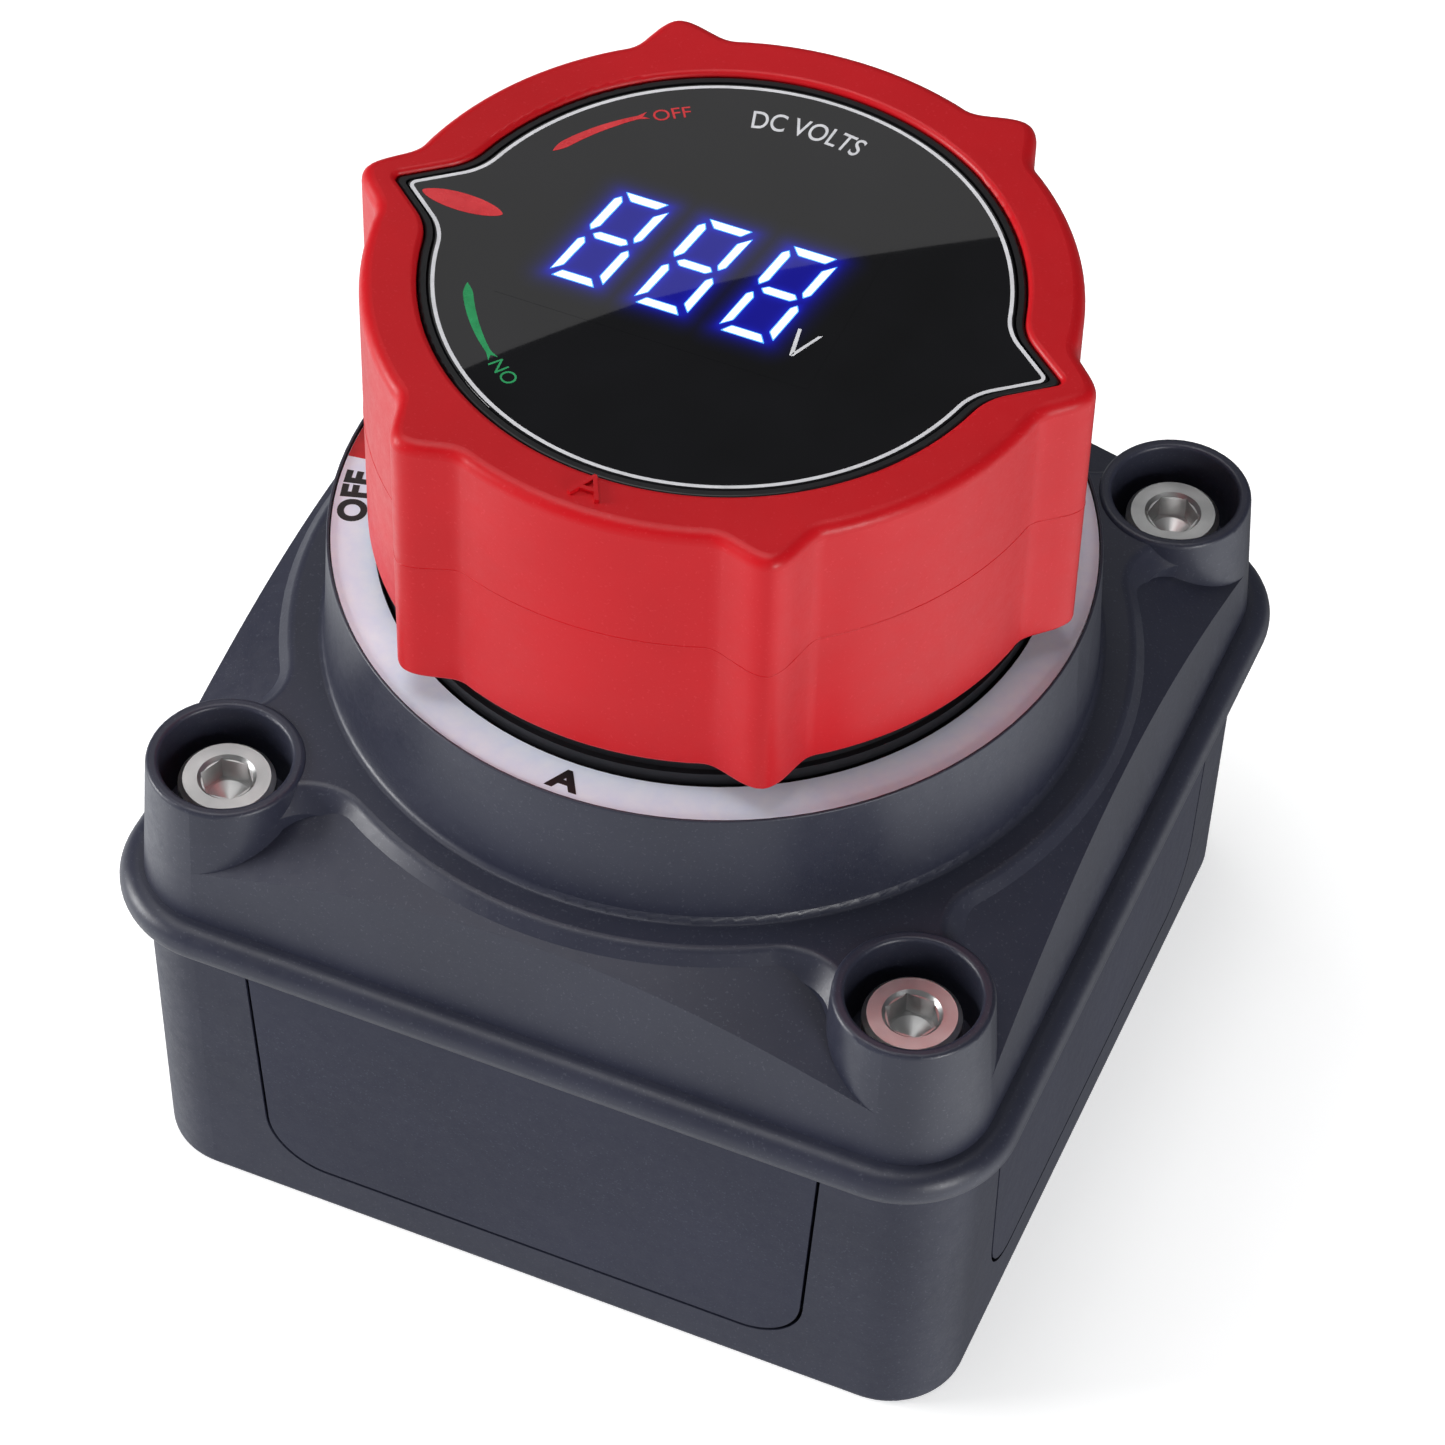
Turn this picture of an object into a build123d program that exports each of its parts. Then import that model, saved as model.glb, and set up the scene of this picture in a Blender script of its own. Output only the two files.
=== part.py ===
from build123d import *
import math
import os

# Battery disconnect switch, surface-mount style, with a lift-off knob that carries a
# volt display.  Millimetres.  Origin: centre of the square base's bottom face.  +Z up
# (out of the mounting surface), -Y is the front face.  The knob's pointer lies along -X
# in the OFF position, which is the rest position.

os.makedirs("parts", exist_ok=True)

# ------------------------------------------------------------------ driving dimensions
BOX_H = 26.6            # height of the square base frame
BOX_HALF = 32.05        # half width of the base at the bottom
BOX_HALF_T = 32.35      # half width of the base at the top (mould draft)
BOX_R = 5.8             # corner radius of the base
WALL = 2.6              # base wall
PLATE_W_TOP = 22.25     # half width of a side plate at its top
PLATE_W_BOT = 21.35     # half width near its bottom corners
PLATE_Z0 = 4.2          # bottom edge of a side plate
PLATE_R = 4.6           # bottom corner radius of a side plate
GAP = 0.27              # visible joint line round a side plate

SCREW_P = 26.2          # corner screw position, both axes
BEAD_HALF = 34.5        # half width over the rounded flange
BEAD_R = 8.5
BEAD_Z0, BEAD_Z1 = 26.6, 29.6
COVER_HALF = 32.6       # cover wall at its foot
COVER_R = 6.4           # corner radius, concentric with the screws
COVER_DRAFT = 3.8
BOSS_TOP = 40.6
DECK_Z = 40.3           # raised deck round the collar
DECK_R = 31.3
CONE_Z, CONE_R0, CONE_SLOPE = 38.95, 32.2, 0.50
CBORE_R, CBORE_Z = 4.75, 34.4
COLLAR_Z = 50.25
COLLAR_R0, COLLAR_R1 = 28.1, 27.62
LABEL_RO, LABEL_RI = 27.32, 24.24
LABEL_Z0, LABEL_Z1 = 49.7, 50.0
WELL_FLOOR = 43.6
WELL_UNDER = 39.6
LIP_R, LIP_Z0, LIP_Z1 = 22.5, 46.4, 48.2
UNDERCUT_R = 24.4
SHAFT_BORE = 7.0

KNOB_Z0, KNOB_Z1 = 52.6, 74.85
MARK_Z = 75.15          # top of the raised index letter on the grip
KNOB_RV = 24.6          # radius of the grip between the lobes
KNOB_RT = 26.95         # radius over the six lobes
LENS_Z = 74.45
SKIRT_R = 23.9

STUD_X = 14.5           # M10 studs left and right of the axis
STUD_R = 5.0
STUD_PITCH_R = 4.51     # M10 thread's pitch radius, where the nut and washers sit
SHANK_R = 5.4           # pressed shank inside the contact block


def put(name, shape):
    solids = shape.solids() if not isinstance(shape, list) else shape
    part = Compound(children=[s for s in solids]) if len(solids) > 1 else solids[0]
    part.label = name
    export_step(part, "parts/%s.step" % name)


def rsq(half, r, z):
    return Plane.XY.offset(z) * RectangleRounded(2 * half, 2 * half, r)


def cyl(r, z0, z1, x=0, y=0):
    return Pos(x, y, (z0 + z1) / 2) * Cylinder(r, z1 - z0)


def tube(ro, ri, z0, z1, x=0, y=0):
    return cyl(ro, z0, z1, x, y) - cyl(ri, z0 - 1, z1 + 1, x, y)


def box(x0, x1, y0, y1, z0, z1):
    return Pos((x0 + x1) / 2, (y0 + y1) / 2, (z0 + z1) / 2) * Box(x1 - x0, y1 - y0, z1 - z0)


def sector(ro, ri, z0, z1, a0, a1):
    # ring sector between two angles in degrees
    n = 12
    pts = [(ro * math.cos(math.radians(a0 + (a1 - a0) * i / n)), ro * math.sin(math.radians(a0 + (a1 - a0) * i / n))) for i in range(n + 1)]
    big = [(0, 0)] + [(1.3 * x, 1.3 * y) for x, y in pts]
    wedge = extrude(Plane.XY.offset(z0) * make_face(Polyline(*big, close=True)), z1 - z0)
    return tube(ro, ri, z0, z1) & wedge


def rev(points):
    # closed profile in the XZ plane, turned about Z
    return revolve(Plane.XZ * make_face(Polyline(*points, close=True)), Axis.Z)


def hexprism(af, z0, z1, x=0, y=0, rot=0.0):
    return Pos(x, y, z0) * Rot(0, 0, rot) * extrude(RegularPolygon(af / math.sqrt(3), 6), z1 - z0)


CORNERS = [(SCREW_P, SCREW_P), (-SCREW_P, SCREW_P), (-SCREW_P, -SCREW_P), (SCREW_P, -SCREW_P)]

# ------------------------------------------------------------------ base frame
outer = loft([rsq(BOX_HALF, BOX_R, 0).face(), rsq(BOX_HALF_T, BOX_R, BOX_H).face()])
outer = fillet(outer.faces().sort_by(Axis.Z)[0].edges(), 0.6)
inner = extrude(rsq(BOX_HALF - WALL, 3.4, -1), BOX_H + 2)
base = outer - inner
for x, y in CORNERS:
    base += cyl(5.55, 0.6, BOX_H, x, y) & outer


def plate_outline(grow):
    # U shape in the XZ plane of a side face, open at the top
    wt, wb, zb, r = PLATE_W_TOP + grow, PLATE_W_BOT + grow, PLATE_Z0 - grow, PLATE_R + grow
    k = (wt - wb) / (BOX_H - (PLATE_Z0 + PLATE_R))
    zt = BOX_H + 1
    xt = wb + k * (zt - (PLATE_Z0 + PLATE_R))
    xb = wb - k * (PLATE_Z0 + PLATE_R - zb)
    f = Plane.XZ * make_face(Polyline((-xt, zt), (-xb, zb), (xb, zb), (xt, zt), close=True))
    low = f.vertices().sort_by(Axis.Z)[0:2]
    return fillet(low, r)


face_in = BOX_HALF - WALL
window = extrude(plate_outline(GAP), 40, dir=(0, -1, 0))
# rebate behind the window: the plate's wider back slides down it from the top
rebate = extrude(plate_outline(1.6 + 0.08), face_in + 1.25, dir=(0, -1, 0))
plates_names = ["side_plate_front", "side_plate_right", "side_plate_rear", "side_plate_left"]
front_cut = window + rebate
front_cut = front_cut & box(-40, 40, -40, -20, -5, BOX_H + 2)
plate_face = extrude(plate_outline(0), 40, dir=(0, -1, 0)) & outer
plate_face = plate_face & box(-40, 40, -40, -(face_in + 1.2), 0, BOX_H - 0.35)
plate_back = (extrude(plate_outline(1.6), face_in + 1.2, dir=(0, -1, 0))) & box(-40, 40, -(face_in + 1.2), -(face_in - 0.6), 0, BOX_H - 0.35)
side_plate = plate_face + plate_back
# break-out score and pull rib on the inner side
side_plate += box(-9, 9, -(face_in - 0.6), -(face_in - 1.4), BOX_H - 4.0, BOX_H - 1.6)
for i in range(4):
    base -= Rot(0, 0, 90 * i) * front_cut
# corner columns: screw clearance from the top, captive nut, insert hole from below
for x, y in CORNERS:
    base -= cyl(2.25, 11.0, BOX_H + 1, x, y)
    base -= hexprism(7.1, 12.0, 15.3, x, y, 45)
    sgx, sgy = math.copysign(1, x), math.copysign(1, y)
    # nut slot opening towards the middle of the box
    slot = Pos(x, y, 0) * Rot(0, 0, math.degrees(math.atan2(-sgy, -sgx))) * box(0, 9, -3.55, 3.55, 12.0, 15.3)
    base -= slot
    base -= cyl(2.8, -1, 8.0, x, y)
    base -= cyl(2.0, 7.5, 9.0, x, y)
# seal between the base frame and the cover, in a shallow seat in the rim
gasket = extrude(rsq(BOX_HALF_T - 0.7, BOX_R - 0.7, BOX_H - 0.3), 0.3) - extrude(rsq(BOX_HALF - WALL + 0.4, 3.4, BOX_H - 1), 3)
put("cover_gasket", gasket)
base -= gasket
put("base_frame", base)
for i, n in enumerate(plates_names):
    put(n, Rot(0, 0, 90 * i) * side_plate)

# brass inserts for mounting from below, and the captive case nuts
put("mounting_inserts", [(cyl(2.8, 0.3, 7.8, x, y) - cyl(2.0, -1, 9, x, y)).solids()[0] for x, y in CORNERS])
put("case_nuts", [(hexprism(7.0, 12.05, 15.25, x, y, 45) - cyl(2.0, 10, 20, x, y)).solids()[0] for x, y in CORNERS])

# ------------------------------------------------------------------ cover
bead = extrude(rsq(BEAD_HALF, BEAD_R, BEAD_Z0), BEAD_Z1 - BEAD_Z0)
bead = fillet(bead.edges().filter_by_position(Axis.Z, BEAD_Z0 - 0.01, BEAD_Z0 + 0.01), 1.45)
bead = fillet(bead.edges().filter_by_position(Axis.Z, BEAD_Z1 - 0.01, BEAD_Z1 + 0.01), 1.45)

h_wall = BOSS_TOP - 28.0
wall = extrude(rsq(COVER_HALF + math.tan(math.radians(COVER_DRAFT)) * 1.4, COVER_R + math.tan(math.radians(COVER_DRAFT)) * 1.4, 28.0), h_wall, taper=COVER_DRAFT)

# pocket surface: a shallow cone about the knob's axis
z_in = CONE_Z + CONE_SLOPE * (CONE_R0 - 24.0)
z_out = CONE_Z - CONE_SLOPE * (48.0 - CONE_R0)
cone = rev([(0, 28), (48, 28), (48, z_out), (24, z_in), (0, z_in)]) & cyl(60, 28, DECK_Z)
# the deck's outline runs in a smooth S into the bosses; its foot is wider by the slope's run
DECK_TAPER = 42.0
STEP_Z = 38.7
BOSS_NECK_R = 5.75
plan_low = Circle(DECK_R + 0.69) + [Pos(x, y) * Circle(BOSS_NECK_R) for x, y in CORNERS]
plan_low = fillet([v for v in plan_low.vertices()], 3.4)
deck = extrude(Plane.XY.offset(30) * plan_low, STEP_Z - 30)
step = extrude(Plane.XY.offset(STEP_Z) * plan_low, DECK_Z - STEP_Z, taper=DECK_TAPER)
step = fillet([e for e in step.edges() if abs(e.center().Z - DECK_Z) < 0.01], 0.8)
deck = deck + step
top = (cone + deck) & cyl(60, 28, DECK_Z)
# bosses: the cover's corners carried up with the same draft
BOSS_R0 = COVER_R + math.tan(math.radians(COVER_DRAFT)) * 1.4
for x, y in CORNERS:
    top += extrude(Plane.XY.offset(28.0) * Pos(x, y) * Circle(BOSS_R0), BOSS_TOP - 28.0, taper=COVER_DRAFT)
body = wall & top
collar = rev([(0, 30), (COLLAR_R0 + 0.45, 30), (COLLAR_R0, DECK_Z), (COLLAR_R1, COLLAR_Z), (0, COLLAR_Z)])
shell = body + collar
try:
    conc = [e for e in shell.edges() if e.geom_type == GeomType.CIRCLE and abs(e.radius - COLLAR_R0) < 0.06 and abs(e.center().Z - DECK_Z) < 0.05]
    shell = fillet(conc, 0.5)
    print("collar foot fillet ok", len(conc))
except Exception as ex:
    print("collar foot fillet failed", ex)
cover = shell + bead
# inside
cover -= extrude(rsq(29.4, 3.2, 20), 31.5 - 20)
cover -= cyl(27.5, 30, 37.4)
cover -= cyl(21.0, 37, WELL_UNDER)
for x, y in CORNERS:
    cover += (cyl(6.0, BEAD_Z0, 33, x, y) & box(-30.5, 30.5, -30.5, 30.5, 0, 50))
POSTS = [(19.5, 19.5), (-19.5, 19.5), (-19.5, -19.5), (19.5, -19.5)]
for x, y in POSTS:
    cover += cyl(3.2, 25.0, 33, x, y)
    cover -= cyl(1.5, 20, 31.2, x, y)
for x, y in CORNERS:
    cover -= cyl(2.25, 20, 45, x, y)
    cover -= cyl(CBORE_R, CBORE_Z, 45, x, y)
# well for the knob
cover -= cyl(LABEL_RI, LIP_Z1, 60)
cover -= cyl(LIP_R, LIP_Z0 - 1, LIP_Z1 + 1)
cover -= cyl(UNDERCUT_R, WELL_FLOOR, LIP_Z0)
cover -= cyl(LABEL_RO + 0.1, LABEL_Z0, 60)
cover -= cyl(SHAFT_BORE, 30, 50)
LUGS = [45.0, 165.0, 285.0]
for a in LUGS:
    cover -= sector(UNDERCUT_R - 0.2, LIP_R - 1, LIP_Z0 - 0.5, LIP_Z1 + 0.5, a - 15, a + 15)
# rotor stops
for a0, a1 in ((144.6, 156.0), (24.0, 35.4)):
    cover += sector(28.2, 21.6, 31.0, 37.6, a0, a1)
# holes for the slip rings' staked tails
TAILS_IN, TAILS_OUT = 11.5, 16.5
for r in (TAILS_IN, TAILS_OUT):
    for a in (0, 180):
        cover -= cyl(0.8, WELL_UNDER - 1, WELL_FLOOR + 1, r * math.cos(math.radians(a)), r * math.sin(math.radians(a)))
cover = cover.solids().sort_by(SortBy.VOLUME)[-1]


def soft_edges(shape, pick, radius, what):
    # rounds the picked edges together, or one by one where that fails
    es = pick(shape)
    try:
        out = fillet(es, radius)
        if out.is_valid:
            print(what, "ok", len(es))
            return out
    except Exception as ex:
        print(what, "all at once failed:", type(ex).__name__, len(es))
    done = 0
    out = shape
    for c in [(e.center().X, e.center().Y, e.center().Z, e.length) for e in es]:
        near = [e for e in out.edges() if (e.center() - Vector(*c[:3])).length < 0.3 and abs(e.length - c[3]) < 0.3 * c[3]]
        if not near:
            continue
        try:
            o2 = fillet(near[:1], radius)
            if o2.is_valid:
                out = o2
                done += 1
        except Exception:
            pass
    print(what, "one by one", done, "of", len(es))
    return out


cover = soft_edges(cover, lambda s: [e for e in s.edges() if abs(e.center().Z - BOSS_TOP) < 0.02 and e.geom_type == GeomType.CIRCLE and abs(e.radius - CBORE_R) < 0.02], 0.3, "counterbore rims")
cover = soft_edges(cover, lambda s: [e for e in s.edges() if abs(e.center().Z - BOSS_TOP) < 0.02 and e.geom_type == GeomType.CIRCLE and 5.4 < e.radius < 5.9], 0.35, "boss rims")
cover = soft_edges(cover, lambda s: [e for e in s.edges() if 34.0 < e.center().Z < 40.2 and e.bounding_box().size.Z > 0.4 and max(abs(e.center().X), abs(e.center().Y)) > 31.0 and e.length > 20 and max(e.bounding_box().size.X, e.bounding_box().size.Y) > 18], 0.3, "pocket edges")
cover = soft_edges(cover, lambda s: [e for e in s.edges() if abs(e.center().Z - COLLAR_Z) < 0.02 and e.geom_type == GeomType.CIRCLE and e.radius > 27.5], 0.12, "collar top edge")
put("top_cover", cover)

put("label_ring", tube(LABEL_RO, LABEL_RI, LABEL_Z0, LABEL_Z1))

# ------------------------------------------------------------------ contact block, studs
BLK_Z0, BLK_Z1 = 20.0, 25.0
blk = extrude(rsq(27.6, 3.0, BLK_Z0), BLK_Z1 - BLK_Z0)
for x, y in CORNERS:
    blk -= cyl(6.6, BLK_Z0 - 1, BLK_Z1 + 1, x, y)
for x, y in POSTS:
    blk -= cyl(1.65, BLK_Z0 - 1, BLK_Z1 + 1, x, y)
for sx in (-1, 1):
    blk -= cyl(SHANK_R + 0.05, BLK_Z0 - 1, BLK_Z1 + 1, sx * STUD_X, 0)
    blk -= cyl(7.6, BLK_Z1 - 1.0, BLK_Z1 + 1, sx * STUD_X, 0)
blk -= cyl(3.55, 21.6, 30)
blk += tube(5.6, 3.55, BLK_Z1, 27.4) - cyl(3.55, 20, 30)
# insulating barrier between the two terminals, below the block
blk += box(-1.6, 1.6, -27.6, 27.6, 8.5, BLK_Z0 + 0.5)
for s in (-1, 1):
    blk += box(-4.2, 4.2, s * 27.6 - (1.6 if s > 0 else 0), s * 27.6 + (0 if s > 0 else 1.6), 8.5, BLK_Z0 + 0.5)
put("contact_block", blk)

screws = []
for x, y in POSTS:
    s = cyl(1.5, 19.0, 31.0, x, y) + cyl(2.8, 18.0, 20.0, x, y)
    s -= box(x - 1.7, x + 1.7, y - 0.35, y + 0.35, 17, 18.9) + box(x - 0.35, x + 0.35, y - 1.7, y + 1.7, 17, 18.9)
    screws.append(s.solids()[0])
put("block_screws", screws)

STUD_END = 3.0
for sx, n in ((-1, "stud_battery"), (1, "stud_load")):
    # full-diameter free end, clamped length at the thread's pitch radius, shank in the block, head
    st = cyl(STUD_R, STUD_END, 10.55, sx * STUD_X, 0) + cyl(STUD_PITCH_R, 10.0, 21.0, sx * STUD_X, 0) + cyl(SHANK_R, BLK_Z0, 26.0, sx * STUD_X, 0) + cyl(7.5, BLK_Z1 - 1.0, 28.5, sx * STUD_X, 0)
    st = chamfer([e for e in st.edges() if e.geom_type == GeomType.CIRCLE and abs(e.center().Z - STUD_END) < 0.01], 0.9)
    st = fillet([e for e in st.edges() if e.geom_type == GeomType.CIRCLE and abs(e.center().Z - 28.5) < 0.01], 0.5)
    put(n, st)
put("stud_flat_washers", [tube(10.0, STUD_R + 0.1, 18.0, 20.0, sx * STUD_X).solids()[0] for sx in (-1, 1)])
lock = []
for sx in (-1, 1):
    w = tube(8.6, STUD_R + 0.15, 15.8, 18.0, sx * STUD_X)
    w -= Pos(sx * STUD_X, 7, 16.9) * Rot(0, 25, 0) * Box(0.9, 8, 6)
    lock.append(w.solids().sort_by(SortBy.VOLUME)[-1])
put("stud_lock_washers", lock)
nuts = []
for sx in (-1, 1):
    nt = hexprism(17.0, 10.8, 15.8, sx * STUD_X, 0, 30) & (Pos(sx * STUD_X, 0, 0) * rev([(0, 10.8), (8.6, 10.8), (9.9, 11.55), (9.9, 15.05), (8.6, 15.8), (0, 15.8)]))
    nt -= cyl(STUD_PITCH_R, 5, 20, sx * STUD_X, 0)
    nuts.append(nt.solids()[0])
put("stud_nuts", nuts)

# ------------------------------------------------------------------ slip rings on the well floor
for n, ri, ro, rt in (("slip_ring_inner", 10.5, 12.5, TAILS_IN), ("slip_ring_outer", 15.5, 17.5, TAILS_OUT)):
    sr = tube(ro, ri, WELL_FLOOR, WELL_FLOOR + 0.4)
    for a in (0, 180):
        sr += cyl(0.75, WELL_UNDER - 0.9, WELL_FLOOR + 0.2, rt * math.cos(math.radians(a)), rt * math.sin(math.radians(a)))
    put(n, sr)

# ------------------------------------------------------------------ case screws, M4 socket cap
cs = []
for k, (x, y) in enumerate(CORNERS):
    s = cyl(2.0, 11.2, CBORE_Z + 1, x, y) + cyl(3.5, CBORE_Z, CBORE_Z + 4.0, x, y)
    s = chamfer([e for e in s.edges() if e.geom_type == GeomType.CIRCLE and abs(e.center().Z - CBORE_Z - 4.0) < 0.01], 0.35)
    s -= hexprism(3.4, CBORE_Z + 1.9, CBORE_Z + 5, x, y, (18, -22, 8, 62)[k])
    s -= Pos(x, y, CBORE_Z + 4.0 - 0.1) * Cone(1.85, 2.2, 0.36)
    s -= Pos(x, y, CBORE_Z + 1.45) * Cone(0.02, 1.5, 0.9)
    cs.append(s.solids().sort_by(SortBy.VOLUME)[-1])
put("case_screws", cs)

# ------------------------------------------------------------------ rotor
shaft = cyl(3.5, 22.0, 34.4) + (Pos(0, 0, 35.9) * Box(10, 10, 3.2)) + cyl(9.5, 37.4, 38.9) + cyl(6.95, 38.0, 44.2)
sq = Pos(0, 0, 51.9) * Box(9.5, 9.5, 16.2)
sq = chamfer(sq.edges().filter_by_position(Axis.Z, 59.99, 60.01), 0.6)
sq = fillet(sq.edges().filter_by(Axis.Z), 0.8)
shaft += sq
shaft -= tube(8.0, 5.35, 40.6, 42.3)
shaft -= tube(5.0, 2.9, 27.95, 28.6)
put("drive_shaft", shaft)
oring = Pos(0, 0, 41.45) * Torus(6.15, 0.78)
put("shaft_seal", oring)
wave = rev([(7.4, 38.9), (9.3, 39.2), (9.3, 39.5), (7.4, 39.2)])
put("wave_washer", wave)

carrier = cyl(20.5, 29.4, 37.3) + sector(23.6, 19.5, 31.6, 36.6, 127, 143)
carrier -= cyl(19.0, 29.0, 30.6) - cyl(7.6, 28, 31) - box(-6.5, 6.5, -21, 21, 28, 31)
carrier -= box(-4.6, 4.6, -21, 21, 28, 34.2)
carrier -= cyl(6.3, 28, 34.4)
carrier -= Pos(0, 0, 36) * Box(10.1, 10.1, 5)
carrier = carrier.solids().sort_by(SortBy.VOLUME)[-1]
put("rotor_carrier", carrier)

bridge = box(-4.5, 4.5, -19.6, 19.6, 29.3, 32.0)
bridge = fillet(bridge.edges().filter_by(Axis.Z), 2.2)
bridge -= cyl(3.6, 28, 33)
put("contact_bridge", bridge)
put("bridge_contact_tips", [cyl(3.6, 28.6, 29.3, 0, s * STUD_X).solids()[0] for s in (-1, 1)])
# coil spring that presses the bridge down
hx = Helix(pitch=0.75, height=1.5, radius=4.9)
spring = sweep(Plane(hx @ 0, z_dir=hx % 0) * Circle(0.3), path=hx, is_frenet=True)
put("contact_spring", Pos(0, 0, 32.4) * spring)
clip = tube(5.6, 2.95, 28.0, 28.55) - box(-1.6, 1.6, 0, 8, 27, 30)
put("retaining_clip", clip.solids().sort_by(SortBy.VOLUME)[-1])

# ------------------------------------------------------------------ knob


def lobed(rv, rt, w, n=6, phase=0.0):
    # six rounded lobes on a circle: smooth closed spline through computed points
    pts = []
    for i in range(240):
        a = i * 1.5
        d = min(abs((a - phase - k * 360.0 / n + 180) % 360 - 180) for k in range(n))
        h = max(0.0, 1 - d / w)
        s = h * h * (3 - 2 * h)
        r = rv + (rt - rv) * s
        pts.append((r * math.cos(math.radians(a)), r * math.sin(math.radians(a))))
    return pts


def lens_outline(R, tip, r_neck, r_tip):
    # circle with two pointed ends on the X axis, joined by concave flanks
    # tip at (tip, 0); straight sides run from the tip to the neck arcs
    c = Circle(R)
    ang = math.radians(10.0)
    px, py = R * math.cos(ang), R * math.sin(ang)
    tri = make_face(Polyline((tip, 0), (px - 0.6, py + 0.45), (-px + 0.6, py + 0.45), (-tip, 0), (-px + 0.6, -py - 0.45), (px - 0.6, -py - 0.45), close=True))
    f = c + tri
    neck = [v for v in f.vertices() if abs(abs(v.X) - tip) > 1.0 and math.hypot(v.X, v.Y) > R - 0.8]
    f = fillet(neck, r_neck)
    tips = [v for v in f.vertices() if abs(v.Y) < 0.05 and abs(v.X) > R + 1]
    f = fillet(tips, r_tip)
    return f


GRIP_EDGE_R = 0.9       # rounded top edge of the grip
grip2d = make_face(Spline(*lobed(KNOB_RV, KNOB_RT, 9.0), periodic=True))
grip = extrude(Plane.XY.offset(KNOB_Z0) * grip2d, KNOB_Z1 - KNOB_Z0)
grip = soft_edges(grip, lambda s: [e for e in s.edges() if abs(e.center().Z - KNOB_Z1) < 0.01], GRIP_EDGE_R, "grip top edge")
grip = soft_edges(grip, lambda s: [e for e in s.edges() if abs(e.center().Z - KNOB_Z0) < 0.01], 0.3, "grip bottom edge")
bez_out = lens_outline(20.6, 24.6, 4.6, 0.5)
bez_hole = lens_outline(20.72, 24.75, 4.6, 0.5)
lens_2d = lens_outline(20.0, 23.85, 4.6, 0.45)
lens_hole = lens_outline(20.06, 23.93, 4.6, 0.45)
grip -= extrude(Plane.XY.offset(71.9) * bez_hole, 10)
grip -= cyl(23.1, KNOB_Z0 - 1, 70.2)
grip -= cyl(18.6, 60, 80)
KPOSTS = [(16.6 * math.cos(math.radians(a)), 16.6 * math.sin(math.radians(a))) for a in (55, 125, 235, 305)]
for x, y in KPOSTS:
    grip += cyl(2.9, 53.0, 70.6, x, y)
    grip -= cyl(1.5, 50, 66, x, y)
grip = soft_edges(grip, lambda s: [e for e in s.edges() if abs(e.center().Z - KNOB_Z1) < 0.01 and e.bounding_box().max.X - e.bounding_box().min.X < 45 and math.hypot(e.center().X, e.center().Y) < 25.2 and e.bounding_box().size.Z < 0.01 and not (math.hypot(e.center().X, e.center().Y) < 1.0 and e.length > 120)], 0.4, "display opening rim")
# raised index letter on the rim, its apex towards the axis
mark = None
for pts in (((-0.95, -23.0), (0.0, -21.15)), ((0.95, -23.0), (0.0, -21.15)), ((-0.55, -22.35), (0.55, -22.35))):
    (ax, ay), (bx, by) = pts
    ln = math.hypot(bx - ax, by - ay)
    bar = Pos((ax + bx) / 2, (ay + by) / 2, (MARK_Z + KNOB_Z1 - 0.4) / 2) * Rot(0, 0, math.degrees(math.atan2(by - ay, bx - ax))) * Box(ln + 0.2, 0.3, MARK_Z - KNOB_Z1 + 0.4)
    mark = bar if mark is None else mark + bar
grip += mark
put("knob_grip", grip)

core = cyl(SKIRT_R, 48.6, 50.9) + cyl(23.45, 50.5, 52.6) + tube(23.0, 21.4, 52.0, 64.0)
core -= cyl(22.6, 50.6 - 5, 50.6)
core += tube(22.0, 19.8, 44.6, 51.0) + cyl(8.5, 44.6, 62.0)
core += tube(SKIRT_R, 21.9, 48.6, 50.9)
core -= Pos(0, 0, 52.1) * Box(9.7, 9.7, 16.0)
core -= cyl(21.4, 53.0, 70) - cyl(8.5, 52, 71)
for a in LUGS:
    core += sector(24.0, 21.0, 44.6, 46.0, a - 11, a + 11)
for x, y in KPOSTS:
    core -= cyl(1.65, 45, 60, x, y)
    core -= cyl(3.0, 45, 51.6, x, y)
PIN_IN = (0.0, 11.5)
# the outer pin stands beside the inner one, a quarter turn round, clear of the screw posts
PIN_OUT = (-16.5, 0.0)
for x, y in (PIN_IN, PIN_OUT):
    core -= cyl(1.8, 45, 60, x, y)
core = core.solids().sort_by(SortBy.VOLUME)[-1]
put("knob_core", core)

ks = []
for x, y in KPOSTS:
    s = cyl(1.5, 50.4, 65.5, x, y) + cyl(2.75, 49.6, 51.6, x, y)
    s -= box(x - 1.6, x + 1.6, y - 0.35, y + 0.35, 49, 50.6) + box(x - 0.35, x + 0.35, y - 1.6, y + 1.6, 49, 50.6)
    ks.append(s.solids()[0])
put("core_screws", ks)

bezel = extrude(Plane.XY.offset(72.0) * bez_out, LENS_Z + 0.08 - 72.0)
bezel = fillet([e for e in bezel.edges() if abs(e.center().Z - (LENS_Z + 0.08)) < 0.01], 0.18)
bezel -= extrude(Plane.XY.offset(73.1) * lens_hole, 5)
bezel -= extrude(Plane.XY.offset(71) * RectangleRounded(31.0, 15.0, 1.5), 5)
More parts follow.
